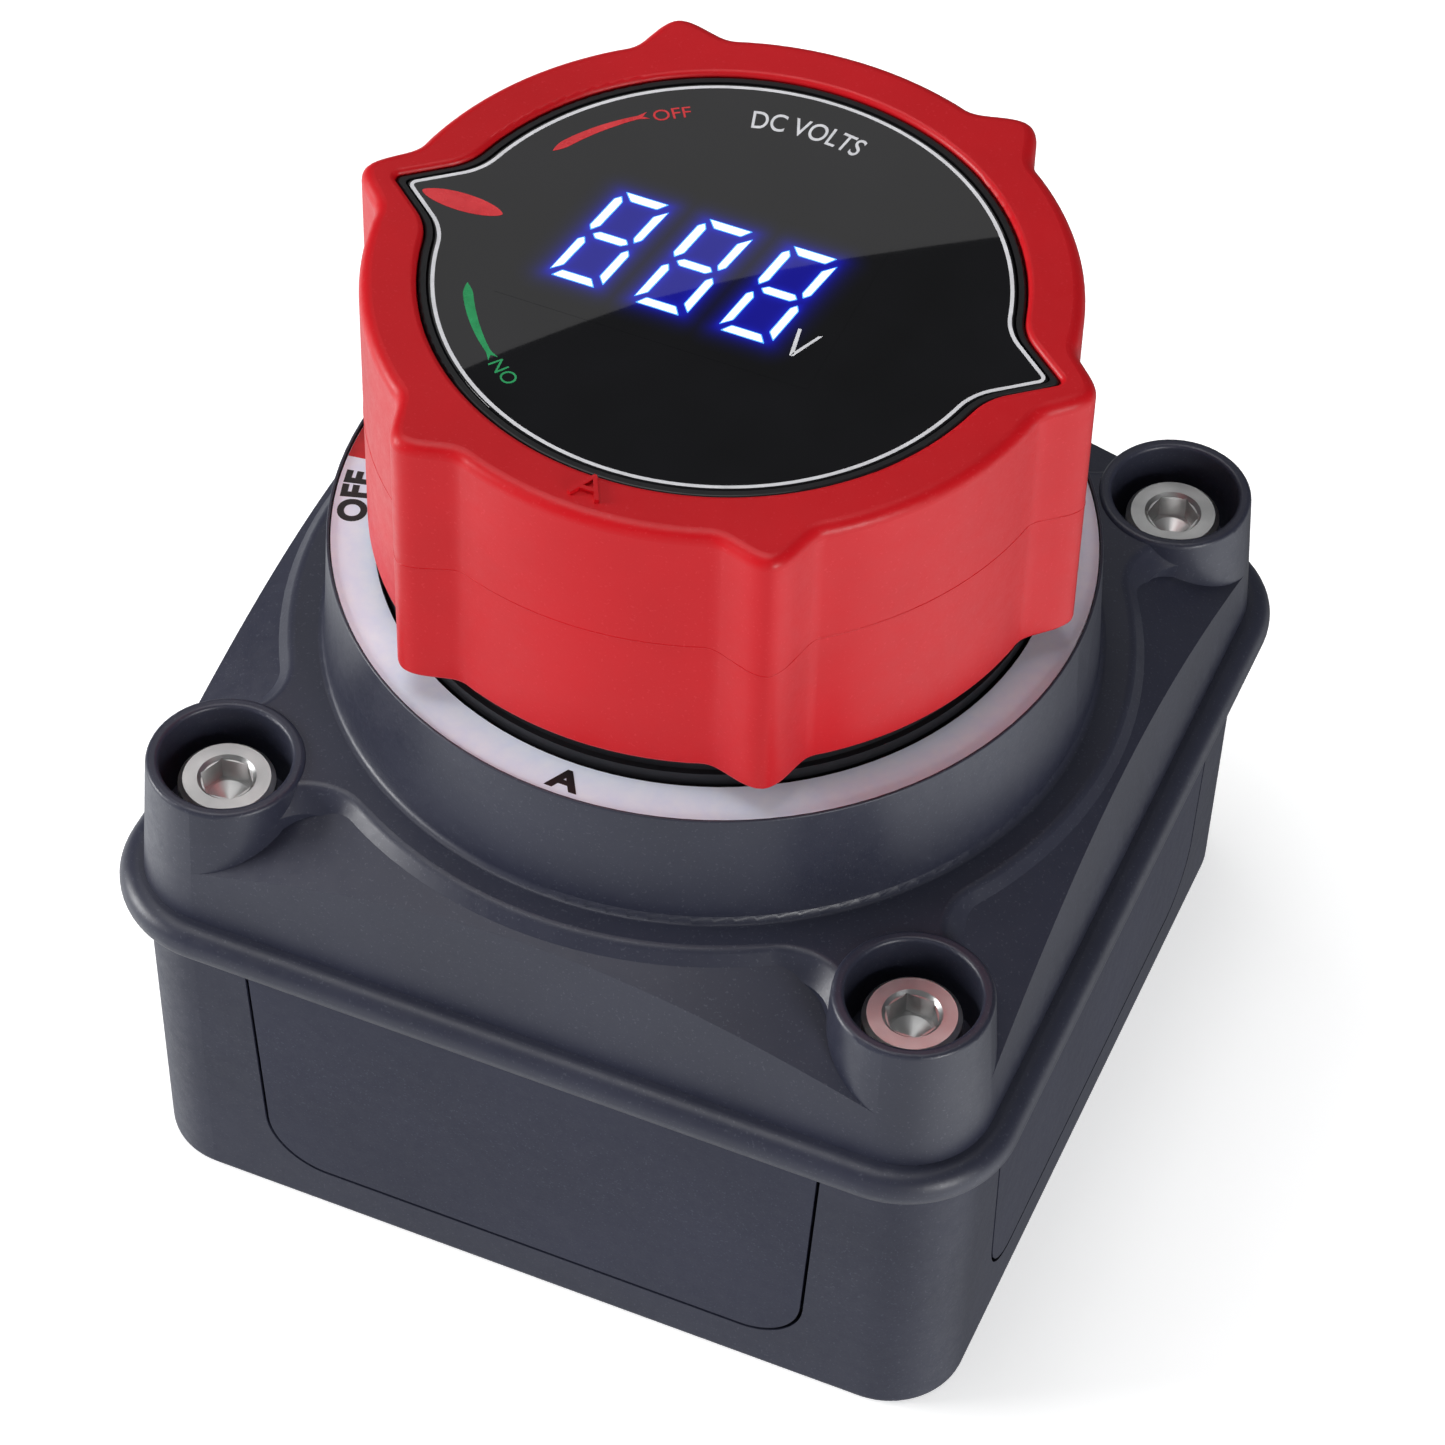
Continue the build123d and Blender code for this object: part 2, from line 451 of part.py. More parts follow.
# two screw posts for the volt meter board
for s in (-1, 1):
    bezel += cyl(1.9, 67.7, 72.2, 0, s * 12.5)
    bezel -= cyl(0.9, 66, 71.6, 0, s * 12.5)
put("display_bezel", bezel)
lens = extrude(Plane.XY.offset(73.35) * lens_2d, LENS_Z - 73.35)
lens = chamfer([e for e in lens.edges() if abs(e.center().Z - LENS_Z) < 0.01], 0.12)
put("display_lens", lens)
tape = extrude(Plane.XY.offset(73.1) * lens_outline(19.7, 23.5, 4.6, 0.4), 0.25) - extrude(Plane.XY.offset(70) * RectangleRounded(34.0, 18.0, 1.5), 6)
put("lens_adhesive", tape)

board = cyl(17.6, 66.1, 67.7)
for s in (-1, 1):
    board -= cyl(1.1, 60, 70, 0, s * 12.5)
for x, y in KPOSTS:
    board -= cyl(3.3, 60, 70, x, y)
put("voltmeter_board", board.solids().sort_by(SortBy.VOLUME)[-1])
put("board_screws", [((cyl(0.9, 65.2, 71.4, 0, s * 12.5) + cyl(1.9, 64.7, 66.1, 0, s * 12.5)) - box(-0.25, 0.25, s * 12.5 - 1.2, s * 12.5 + 1.2, 64, 65.3)).solids()[0] for s in (-1, 1)])
led = box(-15.0, 15.0, -7.0, 7.0, 67.7, 73.0)
put("led_module", led)

for n, (x, y) in (("inner", PIN_IN), ("outer", PIN_OUT)):
    pin = cyl(0.95, 44.7, 51.0, x, y) + Pos(x, y, 45.05) * Sphere(0.95)
    put("contact_pin_" + n, pin)
    hx = Helix(pitch=0.62, height=4.0, radius=0.66)
    sp = sweep(Plane(hx @ 0, z_dir=hx % 0) * Circle(0.13), path=hx, is_frenet=True)
    put("pin_spring_" + n, Pos(x, y, 51.25) * sp)
put("pin_barrels", [(tube(1.8, 1.02, 46.6, 55.5, x, y) + cyl(1.8, 55.5, 56.3, x, y)).solids()[0] for x, y in (PIN_IN, PIN_OUT)])
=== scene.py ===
import math

import bmesh
import bpy
from mathutils import Matrix, Vector
from mathutils.geometry import tessellate_polygon


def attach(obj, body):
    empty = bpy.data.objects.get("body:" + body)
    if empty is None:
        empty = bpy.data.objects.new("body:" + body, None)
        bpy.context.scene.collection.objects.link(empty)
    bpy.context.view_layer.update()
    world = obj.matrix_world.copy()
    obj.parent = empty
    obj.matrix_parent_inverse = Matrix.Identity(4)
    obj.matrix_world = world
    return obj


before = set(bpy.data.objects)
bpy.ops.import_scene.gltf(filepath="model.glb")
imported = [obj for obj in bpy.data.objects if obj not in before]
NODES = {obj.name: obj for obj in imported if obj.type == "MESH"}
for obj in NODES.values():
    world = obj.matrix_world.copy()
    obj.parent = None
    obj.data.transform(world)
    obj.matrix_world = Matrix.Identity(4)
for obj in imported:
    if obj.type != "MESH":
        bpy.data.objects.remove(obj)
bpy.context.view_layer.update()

MM = 0.001

# ---------------------------------------------------------------- sizes shared with the part, mm
LENS_Z = 74.45
LABEL_Z = 50.0
KNOB_RV, KNOB_RT, LOBE_W = 24.6, 26.95, 9.0
STUD_X = 14.5
BOX_HALF = 32.05


# ================================================================ mesh helpers
def link(ob):
    bpy.context.scene.collection.objects.link(ob)
    return ob


def mesh_object(name, verts, faces, material, smooth=False):
    """verts in mm."""
    me = bpy.data.meshes.new(name)
    me.from_pydata([(x * MM, y * MM, z * MM) for x, y, z in verts], [], faces)
    me.validate()
    me.update()
    ob = link(bpy.data.objects.new(name, me))
    if material:
        me.materials.append(material)
    if smooth:
        for p in me.polygons:
            p.use_smooth = True
    return ob


def plates(polys, z0, z1):
    """Closed thin plates over flat outlines, as (verts, faces)."""
    verts, faces = [], []
    for pts in polys:
        area = sum(a[0] * b[1] - b[0] * a[1] for a, b in zip(pts, pts[1:] + pts[:1]))
        if area < 0:
            pts = pts[::-1]
        n, b = len(pts), len(verts)
        verts += [(x, y, z0) for x, y in pts] + [(x, y, z1) for x, y in pts]
        tris = tessellate_polygon([[Vector((x, y, 0)) for x, y in pts]])
        for t in tris:
            a, c, d = t
            ax, ay = pts[a]
            cx, cy = pts[c]
            dx, dy = pts[d]
            if (cx - ax) * (dy - ay) - (cy - ay) * (dx - ax) < 0:
                c, d = d, c
            faces.append((b + n + a, b + n + c, b + n + d))
            faces.append((b + a, b + d, b + c))
        for i in range(n):
            j = (i + 1) % n
            faces.append((b + i, b + j, b + n + j, b + n + i))
    return verts, faces


def ribbon(points, width, z0, z1):
    """Closed loop of constant width along a closed line."""
    n = len(points)
    inner, outer = [], []
    for i in range(n):
        (ax, ay), (bx, by), (cx, cy) = points[i - 1], points[i], points[(i + 1) % n]
        t1 = Vector((bx - ax, by - ay)).normalized()
        t2 = Vector((cx - bx, cy - by)).normalized()
        t = (t1 + t2).normalized()
        nn = Vector((t.y, -t.x))
        k = 1.0 / max(0.5, nn.dot(Vector((t1.y, -t1.x))))
        outer.append((bx + nn.x * width / 2 * k, by + nn.y * width / 2 * k))
        inner.append((bx - nn.x * width / 2 * k, by - nn.y * width / 2 * k))
    verts = []
    for ring, z in ((inner, z0), (outer, z0), (inner, z1), (outer, z1)):
        verts += [(x, y, z) for x, y in ring]
    faces = []
    for i in range(n):
        j = (i + 1) % n
        faces.append((2 * n + i, 3 * n + i, 3 * n + j, 2 * n + j))
        faces.append((i, j, n + j, n + i))
        faces.append((n + i, n + j, 3 * n + j, 3 * n + i))
        faces.append((i, 2 * n + i, 2 * n + j, j))
    return verts, faces


def lens_outline(R, tip, r_neck, r_tip, step=1.5):
    """Circle with two pointed ends on the X axis: the tip, a straight flank, a neck arc, the circle."""
    a17 = math.radians(10.0)
    qx, qy = R * math.cos(a17) - 0.6, R * math.sin(a17) + 0.45
    u = Vector((qx - tip, qy)).normalized()
    nn = Vector((-u.y, u.x))
    if nn.y < 0:
        nn = -nn
    # neck circle: touches the flank from outside and the big circle from outside
    lo, hi = 0.0, 12.0
    for _ in range(60):
        s = (lo + hi) / 2
        F = Vector((tip, 0)) + u * s + nn * r_neck
        if F.length > R + r_neck:
            lo = s
        else:
            hi = s
    F = Vector((tip, 0)) + u * s + nn * r_neck
    phi = math.atan2(F.y, F.x)
    pts = []
    # rounded tip: circle inside the point, touching both flanks
    half = math.atan2(u.y, -u.x)
    d = r_tip / math.sin(half)
    for i in range(7):
        a = -(math.pi / 2 - half) + (math.pi - 2 * half) * i / 6
        pts.append((tip - d + r_tip * math.cos(a), r_tip * math.sin(a)))
    T1 = F - nn * r_neck
    for i in range(1, 4):
        p = Vector(pts[6]).lerp(T1, i / 4.0)
        pts.append((p.x, p.y))
    a0 = math.atan2(-nn.y, -nn.x)
    a1 = math.atan2(-F.y, -F.x)
    while a1 - a0 > math.pi:
        a1 -= 2 * math.pi
    while a1 - a0 < -math.pi:
        a1 += 2 * math.pi
    for i in range(11):
        a = a0 + (a1 - a0) * i / 10
        pts.append((F.x + r_neck * math.cos(a), F.y + r_neck * math.sin(a)))
    m = int((math.pi - 2 * phi) / math.radians(step))
    arc = [(R * math.cos(phi + (math.pi - 2 * phi) * i / m), R * math.sin(phi + (math.pi - 2 * phi) * i / m)) for i in range(1, m)]
    quarter = pts[7:]
    left = [(-x, y) for x, y in quarter[::-1]]
    ltip = [(-x, y) for x, y in pts[:7][::-1]]
    lower = [(-x, -y) for x, y in quarter]
    arc2 = [(-x, -y) for x, y in arc]
    right = [(x, -y) for x, y in quarter[::-1]]
    out = pts[:7] + quarter + arc + left + ltip + lower + arc2 + right
    return out


def text_mesh(body, height, bold=0.0, squeeze=1.0, spacing=1.0, shear=0.0):
    """Flat generic lettering: (verts, faces, width) in mm, baseline at y = 0 and x from 0."""
    cu = bpy.data.curves.new("t_" + body, "FONT")
    cu.body = body
    cu.size = 10.0
    cu.offset = bold
    cu.space_character = spacing
    cu.shear = shear
    cu.resolution_u = 6
    ob = link(bpy.data.objects.new("t_" + body, cu))
    bpy.context.view_layer.update()
    dg = bpy.context.evaluated_depsgraph_get()
    me = bpy.data.meshes.new_from_object(ob.evaluated_get(dg))
    bm = bmesh.new()
    bm.from_mesh(me)
    bmesh.ops.remove_doubles(bm, verts=bm.verts, dist=1e-4)
    xs = [v.co.x for v in bm.verts]
    x0, x1 = min(xs), max(xs)
    k = height / 7.29
    verts = [((v.co.x - x0) * k * squeeze, v.co.y * k) for v in bm.verts]
    faces = [tuple(v.index for v in f.verts) for f in bm.faces]
    bm.verts.index_update()
    faces = [tuple(v.index for v in f.verts) for f in bm.faces]
    bm.free()
    bpy.data.objects.remove(ob)
    bpy.data.meshes.remove(me)
    return verts, faces, (x1 - x0) * k * squeeze


def solid_from_flat(flat, faces, z0, z1):
    """Closes a flat filled outline into a thin solid."""
    bm = bmesh.new()
    vs = [bm.verts.new((x, y, z1)) for x, y in flat]
    for f in faces:
        try:
            bm.faces.new([vs[i] for i in f])
        except ValueError:
            pass
    for f in bm.faces:
        f.normal_update()
        if f.normal.z < 0:
            f.normal_flip()
    n = len(vs)
    edges = [e for e in bm.edges if len(e.link_faces) == 1]
    low = [bm.verts.new((v.co.x, v.co.y, z0)) for v in vs]
    tops = list(bm.faces)
    idx = {v: i for i, v in enumerate(vs)}
    for f in tops:
        bm.faces.new([low[idx[v]] for v in reversed(f.verts[:])])
    for e in edges:
        a, b = e.verts
        loop = [l for l in e.link_faces[0].loops if l.edge == e][0]
        a, b = loop.vert, loop.link_loop_next.vert
        try:
            bm.faces.new([b, a, low[idx[a]], low[idx[b]]])
        except ValueError:
            pass
    bm.verts.index_update()
    verts = [tuple(v.co) for v in bm.verts]
    out = [tuple(v.index for v in f.verts) for f in bm.faces]
    used = sorted(set(i for f in out for i in f))
    remap = {v: i for i, v in enumerate(used)}
    verts = [verts[i] for i in used]
    out = [tuple(remap[i] for i in f) for f in out]
    bm.free()
    return verts, out


def ring_text(body, height, radius, start_deg, bold=0.0, squeeze=1.0, spacing=1.0, outward=True, centre=False):
    """Letters set round the axis; tops outward they read clockwise from start_deg."""
    flat, faces, w = text_mesh(body, height, bold, squeeze, spacing)
    out = []
    for x, y in flat:
        if centre:
            x = x - w / 2
        if outward:
            a = math.radians(start_deg) - x / (radius + height * 0.5)
            r = radius + y
        else:
            a = math.radians(start_deg) + x / (radius + height * 0.5)
            r = radius + height - y
        out.append((r * math.cos(a), r * math.sin(a)))
    return out, faces


def sector_outline(ro, ri, a0, a1, n=24):
    o = [(ro * math.cos(math.radians(a0 + (a1 - a0) * i / n)), ro * math.sin(math.radians(a0 + (a1 - a0) * i / n))) for i in range(n + 1)]
    i_ = [(ri * math.cos(math.radians(a1 + (a0 - a1) * i / n)), ri * math.sin(math.radians(a1 + (a0 - a1) * i / n))) for i in range(n + 1)]
    return o + i_


# ================================================================ material helpers
def new_mat(name):
    m = bpy.data.materials.new(name)
    m.use_nodes = True
    nt = m.node_tree
    for n in list(nt.nodes):
        nt.nodes.remove(n)
    out = nt.nodes.new("ShaderNodeOutputMaterial")
    bs = nt.nodes.new("ShaderNodeBsdfPrincipled")
    nt.links.new(bs.outputs[0], out.inputs[0])
    return m, nt, bs


def srgb(r, g, b):
    def f(c):
        c = c / 255.0
        return c / 12.92 if c <= 0.04045 else ((c + 0.055) / 1.055) ** 2.4
    return (f(r), f(g), f(b), 1.0)


def coords(nt, scale=(1, 1, 1)):
    tc = nt.nodes.new("ShaderNodeTexCoord")
    mp = nt.nodes.new("ShaderNodeMapping")
    mp.inputs["Scale"].default_value = scale
    nt.links.new(tc.outputs["Object"], mp.inputs["Vector"])
    return mp.outputs[0]


def noise(nt, vec, scale, detail=2.0, rough=0.5):
    n = nt.nodes.new("ShaderNodeTexNoise")
    n.inputs["Scale"].default_value = scale
    n.inputs["Detail"].default_value = detail
    n.inputs["Roughness"].default_value = rough
    nt.links.new(vec, n.inputs["Vector"])
    return n.outputs["Fac"]


def ramp(nt, fac, stops):
    r = nt.nodes.new("ShaderNodeValToRGB")
    els = r.color_ramp.elements
    els[0].position, els[0].color = stops[0][0], stops[0][1]
    els[1].position, els[1].color = stops[-1][0], stops[-1][1]
    for p, c in stops[1:-1]:
        e = els.new(p)
        e.color = c
    nt.links.new(fac, r.inputs["Fac"])
    return r.outputs["Color"]


def maprange(nt, fac, a0, a1, b0, b1):
    r = nt.nodes.new("ShaderNodeMapRange")
    r.inputs["From Min"].default_value = a0
    r.inputs["From Max"].default_value = a1
    r.inputs["To Min"].default_value = b0
    r.inputs["To Max"].default_value = b1
    nt.links.new(fac, r.inputs["Value"])
    return r.outputs["Result"]


def mixc(nt, fac, a, b, mode="MIX"):
    r = nt.nodes.new("ShaderNodeMix")
    r.data_type = "RGBA"
    r.blend_type = mode
    for sock, val in ((r.inputs["Factor"], fac), (r.inputs["A"], a), (r.inputs["B"], b)):
        pass
    ins = {i.identifier: i for i in r.inputs}
    f, A, B = ins["Factor_Float"], ins["A_Color"], ins["B_Color"]
    for s, v in ((f, fac), (A, a), (B, b)):
        if isinstance(v, (tuple, list, float, int)):
            s.default_value = v
        else:
            nt.links.new(v, s)
    return [o for o in r.outputs if o.identifier == "Result_Color"][0]


def bump(nt, height, strength, distance, prev=None):
    b = nt.nodes.new("ShaderNodeBump")
    b.inputs["Strength"].default_value = strength
    b.inputs["Distance"].default_value = distance
    nt.links.new(height, b.inputs["Height"])
    if prev is not None:
        nt.links.new(prev, b.inputs["Normal"])
    return b.outputs["Normal"]


def math_node(nt, op, a, b=None):
    m = nt.nodes.new("ShaderNodeMath")
    m.operation = op
    for i, v in enumerate((a, b)):
        if v is None:
            continue
        if isinstance(v, (float, int)):
            m.inputs[i].default_value = v
        else:
            nt.links.new(v, m.inputs[i])
    return m.outputs[0]


def plastic(name, dark, light, rough=(0.38, 0.5), grain=5200.0, grain_h=0.000012, strength=0.5, specks=None, coat=0.0, mottling=90.0, spec=0.36):
    """Moulded plastic: faint colour drift, fine spark-eroded grain, roughness that follows it."""
    m, nt, bs = new_mat(name)
    v = coords(nt)
    big = noise(nt, v, mottling, 3.0, 0.55)
    fine = noise(nt, v, grain, 2.0, 0.6)
    col = ramp(nt, big, [(0.3, dark), (0.7, light)])
    # Optional specks: a lighter colour mixed into the base colour at sparse noise peaks. On the housing, plates,
    # base and grip these are painted glints that stand in for the bright sparkle of the grain in highlights.
    if specks is not None:
        sp = noise(nt, v, specks[0], 1.0, 0.4)
        fac = maprange(nt, sp, specks[1], specks[1] + 0.06, 0.0, specks[3])
        col = mixc(nt, fac, col, specks[2])
    nt.links.new(col, bs.inputs["Base Color"])
    mid = noise(nt, v, grain * 0.22, 2.0, 0.5)
    rr = math_node(nt, "MULTIPLY", math_node(nt, "ADD", fine, mid), 0.5)
    nt.links.new(maprange(nt, rr, 0.3, 0.7, rough[0], rough[1]), bs.inputs["Roughness"])
    nrm = bump(nt, fine, strength, grain_h)
    nrm = bump(nt, mid, strength * 0.5, grain_h * 2.0, nrm)
    nt.links.new(nrm, bs.inputs["Normal"])
    bs.inputs["Specular IOR Level"].default_value = spec
    if coat:
        bs.inputs["Coat Weight"].default_value = coat
        bs.inputs["Coat Roughness"].default_value = 0.3
    return m


def metal(name, dark, light, rough=(0.2, 0.34), centres=((0.0, 0.0),), rings=9000.0, ring_h=0.000004, tarnish=None, axis_scale=(1, 1, 1)):
    """Turned metal: fine rings about the nearest of the given axes, drift in colour and roughness."""
    m, nt, bs = new_mat(name)
    v = coords(nt)
    bs.inputs["Metallic"].default_value = 1.0
    sep = nt.nodes.new("ShaderNodeSeparateXYZ")
    nt.links.new(v, sep.inputs[0])
    dist = None
    for cx, cy in centres:
        dx = math_node(nt, "SUBTRACT", sep.outputs[0], cx * MM)
        dy = math_node(nt, "SUBTRACT", sep.outputs[1], cy * MM)
        d = math_node(nt, "SQRT", math_node(nt, "ADD", math_node(nt, "MULTIPLY", dx, dx), math_node(nt, "MULTIPLY", dy, dy)))
        dist = d if dist is None else math_node(nt, "MINIMUM", dist, d)
    comb = nt.nodes.new("ShaderNodeCombineXYZ")
    nt.links.new(dist, comb.inputs[0])
    nt.links.new(math_node(nt, "MULTIPLY", sep.outputs[2], 1.0), comb.inputs[1])
    turned = noise(nt, comb.outputs[0], rings, 2.0, 0.6)
    big = noise(nt, v, 260.0, 3.0, 0.55)
    col = ramp(nt, big, [(0.3, dark), (0.7, light)])
    if tarnish is not None:
        spots = noise(nt, v, 900.0, 3.0, 0.6)
        col = mixc(nt, maprange(nt, spots, 0.56, 0.72, 0.0, 0.6), col, tarnish)
    nt.links.new(col, bs.inputs["Base Color"])
    both = math_node(nt, "MULTIPLY", math_node(nt, "ADD", turned, big), 0.5)
    nt.links.new(maprange(nt, both, 0.35, 0.65, rough[0], rough[1]), bs.inputs["Roughness"])
    nt.links.new(bump(nt, turned, 0.35, ring_h), bs.inputs["Normal"])
    return m


def print_ink(name, dark, light, rough=(0.3, 0.42), glow=None, grain=2600.0):
    """Screen-printed ink: slight unevenness of cover and sheen."""
    m, nt, bs = new_mat(name)
    v = coords(nt)
    a = noise(nt, v, 700.0, 3.0, 0.6)
    b = noise(nt, v, grain, 2.0, 0.5)
    col = ramp(nt, a, [(0.3, dark), (0.7, light)])
    nt.links.new(col, bs.inputs["Base Color"])
    nt.links.new(maprange(nt, b, 0.3, 0.7, rough[0], rough[1]), bs.inputs["Roughness"])
    nt.links.new(bump(nt, b, 0.25, 0.000004), bs.inputs["Normal"])
    if glow is not None:
        nt.links.new(ramp(nt, a, [(0.3, glow[0]), (0.7, glow[1])]), bs.inputs["Emission Color"])
        bs.inputs["Emission Strength"].default_value = glow[2]
    return m


# ================================================================ materials
M = {}
# The lighter specks given to the housing, plate, base and grip plastics are painted glints: the bright sparkle of
# the grain, put into the base colour.
M["housing"] = plastic("housing_plastic", srgb(40, 42, 56), srgb(45, 47, 62), rough=(0.34, 0.48), grain=4200.0, grain_h=0.000010, strength=0.55,
                       specks=(5200.0, 0.66, srgb(84, 87, 98), 0.35), spec=0.46)
M["plate"] = plastic("plate_plastic", srgb(38, 40, 55), srgb(43, 45, 61), rough=(0.46, 0.60), grain=4600.0, grain_h=0.000012, strength=0.6, mottling=60.0,
                     specks=(5600.0, 0.66, srgb(80, 83, 96), 0.3), spec=0.22)
M["base"] = plastic("base_plastic", srgb(38, 40, 54), srgb(43, 45, 60), rough=(0.42, 0.56), grain=4300.0, grain_h=0.000010, strength=0.55,
                    specks=(5200.0, 0.66, srgb(82, 85, 97), 0.32), spec=0.26)
M["grip_red"] = plastic("grip_plastic", srgb(184, 10, 20), srgb(195, 15, 26), rough=(0.33, 0.47), grain=3600.0, grain_h=0.000010, strength=0.5, mottling=70.0,
                        specks=(4600.0, 0.67, srgb(214, 70, 78), 0.22), coat=0.04, spec=0.26)
M["core_black"] = plastic("core_plastic", srgb(22, 22, 25), srgb(29, 29, 33), rough=(0.32, 0.48), grain=4200.0, grain_h=0.000010)
M["label"] = print_ink("label_film", srgb(226, 236, 255), srgb(235, 243, 255), rough=(0.42, 0.56))
M["bezel"] = plastic("bezel_plastic", srgb(16, 16, 18), srgb(23, 23, 26), rough=(0.28, 0.42), grain=5200.0, grain_h=0.000008)
M["stainless"] = metal("stainless_steel", srgb(204, 204, 204), srgb(228, 228, 227), rough=(0.30, 0.44),
                       centres=[(sx * 26.2, sy * 26.2) for sx in (-1, 1) for sy in (-1, 1)], rings=14000.0)
M["stud_steel"] = metal("washer_steel", srgb(176, 174, 172), srgb(206, 204, 202), rough=(0.2, 0.4), centres=[(-STUD_X, 0), (STUD_X, 0)], rings=7000.0)
M["screw_steel"] = metal("small_screw_steel", srgb(170, 168, 166), srgb(204, 202, 200), rough=(0.2, 0.38),
                         centres=[(sx * 19.5, sy * 19.5) for sx in (-1, 1) for sy in (-1, 1)], rings=9000.0)
M["spring_steel"] = metal("spring_steel", srgb(140, 141, 144), srgb(176, 177, 180), rough=(0.22, 0.4), rings=8000.0)
M["copper"] = metal("tinned_copper", srgb(196, 132, 100), srgb(222, 160, 124), rough=(0.2, 0.36), centres=[(-STUD_X, 0), (STUD_X, 0)], rings=6000.0, tarnish=srgb(150, 84, 62))
M["copper_axis"] = metal("ring_copper", srgb(200, 140, 100), srgb(226, 168, 128), rough=(0.2, 0.36), rings=7000.0, tarnish=srgb(158, 92, 66))
M["brass"] = metal("turned_brass", srgb(196, 164, 96), srgb(222, 192, 124), rough=(0.2, 0.36), centres=[(sx * 26.2, sy * 26.2) for sx in (-1, 1) for sy in (-1, 1)], rings=9000.0, tarnish=srgb(150, 118, 62))
M["insulator"] = plastic("block_plastic", srgb(34, 34, 37), srgb(45, 45, 49), rough=(0.45, 0.66), grain=2400.0, grain_h=0.00002, strength=0.6, mottling=160.0,
                         specks=(2600.0, 0.64, srgb(96, 94, 90), 0.4))
M["rubber"] = plastic("seal_rubber", srgb(20, 20, 21), srgb(30, 30, 31), rough=(0.6, 0.8), grain=1800.0, grain_h=0.00002)
M["adhesive"] = plastic("foam_tape", srgb(26, 26, 27), srgb(40, 40, 41), rough=(0.7, 0.9), grain=1500.0, grain_h=0.00004)


def pcb_material():
    m, nt, bs = new_mat("circuit_board")
    v = coords(nt)
    br = nt.nodes.new("ShaderNodeTexBrick")
    br.inputs["Scale"].default_value = 420.0
    br.inputs["Mortar Size"].default_value = 0.09
    br.inputs["Color1"].default_value = srgb(18, 84, 46)
    br.inputs["Color2"].default_value = srgb(22, 96, 54)
    br.inputs["Mortar"].default_value = srgb(36, 128, 76)
    nt.links.new(v, br.inputs["Vector"])
    n = noise(nt, v, 1200.0, 2.0, 0.5)
    nt.links.new(mixc(nt, maprange(nt, n, 0.4, 0.7, 0.0, 0.4), br.outputs["Color"], srgb(14, 66, 38)), bs.inputs["Base Color"])
    nt.links.new(maprange(nt, n, 0.3, 0.7, 0.22, 0.4), bs.inputs["Roughness"])
    nt.links.new(bump(nt, br.outputs["Fac"], 0.4, 0.00003), bs.inputs["Normal"])
    return m


def led_material():
    m, nt, bs = new_mat("led_housing")
    v = coords(nt)
    n = noise(nt, v, 900.0, 2.0, 0.5)
    nt.links.new(ramp(nt, n, [(0.3, srgb(24, 24, 60)), (0.7, srgb(30, 32, 120))]), bs.inputs["Base Color"])
    nt.links.new(ramp(nt, n, [(0.3, srgb(10, 10, 120)), (0.7, srgb(20, 24, 190))]), bs.inputs["Emission Color"])
    bs.inputs["Emission Strength"].default_value = 0.5
    nt.links.new(maprange(nt, n, 0.3, 0.7, 0.3, 0.5), bs.inputs["Roughness"])
    nt.links.new(bump(nt, n, 0.3, 0.00002), bs.inputs["Normal"])
    return m


def lens_material(name="lens_black"):
    m, nt, bs = new_mat(name)
    v = coords(nt)
    a = noise(nt, v, 120.0, 2.0, 0.5)
    b = noise(nt, v, 6000.0, 2.0, 0.5)
    nt.links.new(ramp(nt, a, [(0.3, srgb(13, 13, 15)), (0.7, srgb(18, 18, 21))]), bs.inputs["Base Color"])
    nt.links.new(maprange(nt, b, 0.3, 0.7, 0.006, 0.014), bs.inputs["Roughness"])
    bs.inputs["IOR"].default_value = 1.5
    return m


def glow_material():
    """The lens face over the lit digits: the same black gloss, with the light that shines through it."""
    m, nt, bs = new_mat("lens_lit")
    v = coords(nt)
    a = noise(nt, v, 120.0, 2.0, 0.5)
    b = noise(nt, v, 6000.0, 2.0, 0.5)
    nt.links.new(ramp(nt, a, [(0.3, srgb(13, 13, 15)), (0.7, srgb(18, 18, 21))]), bs.inputs["Base Color"])
    nt.links.new(maprange(nt, b, 0.3, 0.7, 0.006, 0.014), bs.inputs["Roughness"])
    bs.inputs["IOR"].default_value = 1.5
    at = nt.nodes.new("ShaderNodeAttribute")
    at.attribute_name = "glow"
    nt.links.new(at.outputs["Color"], bs.inputs["Emission Color"])
    bs.inputs["Emission Strength"].default_value = 1.0
    return m


M["pcb"] = pcb_material()
M["led"] = led_material()
M["lens"] = lens_material()
M["lens_lit"] = glow_material()
M["ink_white"] = print_ink("ink_white", srgb(214, 214, 218), srgb(232, 232, 236), rough=(0.2, 0.3))
M["ink_red"] = print_ink("ink_red", srgb(204, 40, 48), srgb(222, 56, 62), rough=(0.2, 0.3))
M["ink_green"] = print_ink("ink_green", srgb(24, 140, 80), srgb(38, 160, 96), rough=(0.2, 0.3))
M["ink_black"] = print_ink("ink_black", srgb(14, 14, 16), srgb(22, 22, 25), rough=(0.4, 0.55))
M["ink_label_red"] = print_ink("ink_label_red", srgb(186, 18, 28), srgb(202, 28, 36), rough=(0.4, 0.55))
M["ink_label_green"] = print_ink("ink_label_green", srgb(20, 128, 70), srgb(30, 146, 84), rough=(0.4, 0.55))
M["seg_core"] = print_ink("segment_core", srgb(226, 226, 226), srgb(238, 238, 240), rough=(0.2, 0.3), glow=(srgb(228, 232, 236), srgb(240, 244, 248), 0.75))
M["seg_rim"] = print_ink("segment_rim", srgb(30, 90, 190), srgb(40, 110, 220), rough=(0.2, 0.3), glow=(srgb(70, 170, 255), srgb(110, 205, 255), 1.0))

